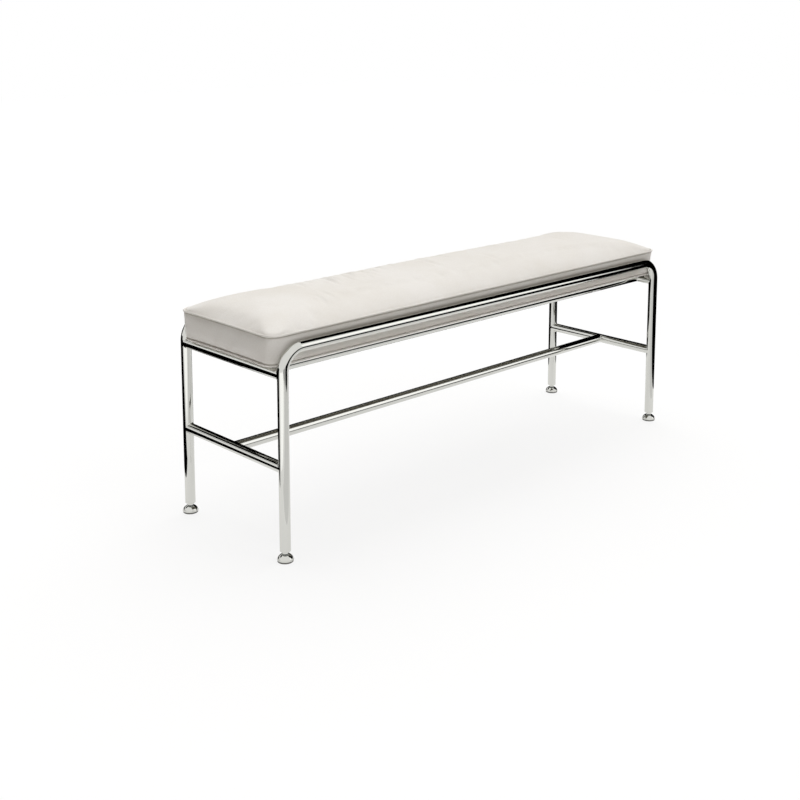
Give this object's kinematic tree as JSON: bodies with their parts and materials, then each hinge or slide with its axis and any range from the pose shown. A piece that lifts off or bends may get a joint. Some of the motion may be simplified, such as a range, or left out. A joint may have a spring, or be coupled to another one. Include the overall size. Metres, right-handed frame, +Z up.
{
  "type": "upholstered tubular steel bench",
  "caption": "Long low bench: bent chrome tube side frames, welded cross tubes and stretcher, a crowned leather box cushion with welts, and screw feet that level it.",
  "frame": {"origin": "on the floor under the middle of the bench", "axes": "+X along the bench towards its right end, -Y towards its front, +Z up"},
  "size_m": [1.2442, 0.358, 0.4752],
  "materials": {
    "chrome_tube": "bright chrome plate on steel tube",
    "chrome_foot": "bright chrome plate on turned steel",
    "foot_nylon": "grey nylon, moulded",
    "zinc_steel": "zinc plated",
    "seat_leather": "ivory leather, fine grain, semi-matt",
    "seat_foam": "polyurethane foam",
    "plywood": "birch plywood, unfinished",
    "dust_cloth": "grey non-woven cambric"
  },
  "bodies": {
    "bench_frame": {"front_side_frame": "chrome_tube", "rear_side_frame": "chrome_tube", "left_seat_crossbar": "chrome_tube", "right_seat_crossbar": "chrome_tube", "front_seat_rail": "chrome_tube", "rear_seat_rail": "chrome_tube", "left_lower_rung": "chrome_tube", "right_lower_rung": "chrome_tube", "long_stretcher": "chrome_tube", "front_left_leg_insert": "zinc_steel", "front_right_leg_insert": "zinc_steel", "rear_left_leg_insert": "zinc_steel", "rear_right_leg_insert": "zinc_steel", "seat_screw_1": "zinc_steel", "tee_nut_1": "zinc_steel", "seat_screw_2": "zinc_steel", "tee_nut_2": "zinc_steel", "seat_screw_3": "zinc_steel", "tee_nut_3": "zinc_steel", "seat_screw_4": "zinc_steel", "tee_nut_4": "zinc_steel", "seat_screw_5": "zinc_steel", "tee_nut_5": "zinc_steel", "seat_screw_6": "zinc_steel", "tee_nut_6": "zinc_steel", "seat_board": "plywood", "dust_cover": "dust_cloth", "foam_core": "seat_foam", "cushion_cover": "seat_leather", "top_welt": "seat_leather", "bottom_welt": "seat_leather"},
    "front_left_foot": {"front_left_foot_dome": "chrome_foot", "front_left_foot_pad": "foot_nylon"},
    "front_left_stem": {"front_left_foot_stem": "chrome_foot"},
    "front_right_foot": {"front_right_foot_dome": "chrome_foot", "front_right_foot_pad": "foot_nylon"},
    "front_right_stem": {"front_right_foot_stem": "chrome_foot"},
    "rear_left_foot": {"rear_left_foot_dome": "chrome_foot", "rear_left_foot_pad": "foot_nylon"},
    "rear_left_stem": {"rear_left_foot_stem": "chrome_foot"},
    "rear_right_foot": {"rear_right_foot_dome": "chrome_foot", "rear_right_foot_pad": "foot_nylon"},
    "rear_right_stem": {"rear_right_foot_stem": "chrome_foot"}
  },
  "joints": [
    {"name": "front_left_foot_height", "type": "slide", "parent": "bench_frame", "child": "front_left_foot", "axis": [0, 0, 1], "range_m": [-0.012, 0.003]},
    {"name": "front_left_stem_turn", "type": "hinge", "parent": "front_left_foot", "child": "front_left_stem", "pos_m": [-0.6, -0.1625, 0.02], "axis": [0, 0, 1], "range_deg": [-3456.1, 864.1]},
    {"name": "front_right_foot_height", "type": "slide", "parent": "bench_frame", "child": "front_right_foot", "axis": [0, 0, 1], "range_m": [-0.012, 0.003]},
    {"name": "front_right_stem_turn", "type": "hinge", "parent": "front_right_foot", "child": "front_right_stem", "pos_m": [0.6, -0.1625, 0.02], "axis": [0, 0, 1], "range_deg": [-3456.1, 864.1]},
    {"name": "rear_left_foot_height", "type": "slide", "parent": "bench_frame", "child": "rear_left_foot", "axis": [0, 0, 1], "range_m": [-0.012, 0.003]},
    {"name": "rear_left_stem_turn", "type": "hinge", "parent": "rear_left_foot", "child": "rear_left_stem", "pos_m": [-0.6, 0.1625, 0.02], "axis": [0, 0, 1], "range_deg": [-3456.1, 864.1]},
    {"name": "rear_right_foot_height", "type": "slide", "parent": "bench_frame", "child": "rear_right_foot", "axis": [0, 0, 1], "range_m": [-0.012, 0.003]},
    {"name": "rear_right_stem_turn", "type": "hinge", "parent": "rear_right_foot", "child": "rear_right_stem", "pos_m": [0.6, 0.1625, 0.02], "axis": [0, 0, 1], "range_deg": [-3456.1, 864.1]}
  ],
  "couplings": [
    {"joint": "front_left_stem_turn", "follows": "front_left_foot_height", "rad_per_m": 5026.5},
    {"joint": "front_right_stem_turn", "follows": "front_right_foot_height", "rad_per_m": 5026.5},
    {"joint": "rear_left_stem_turn", "follows": "rear_left_foot_height", "rad_per_m": 5026.5},
    {"joint": "rear_right_stem_turn", "follows": "rear_right_foot_height", "rad_per_m": 5026.5}
  ]
}
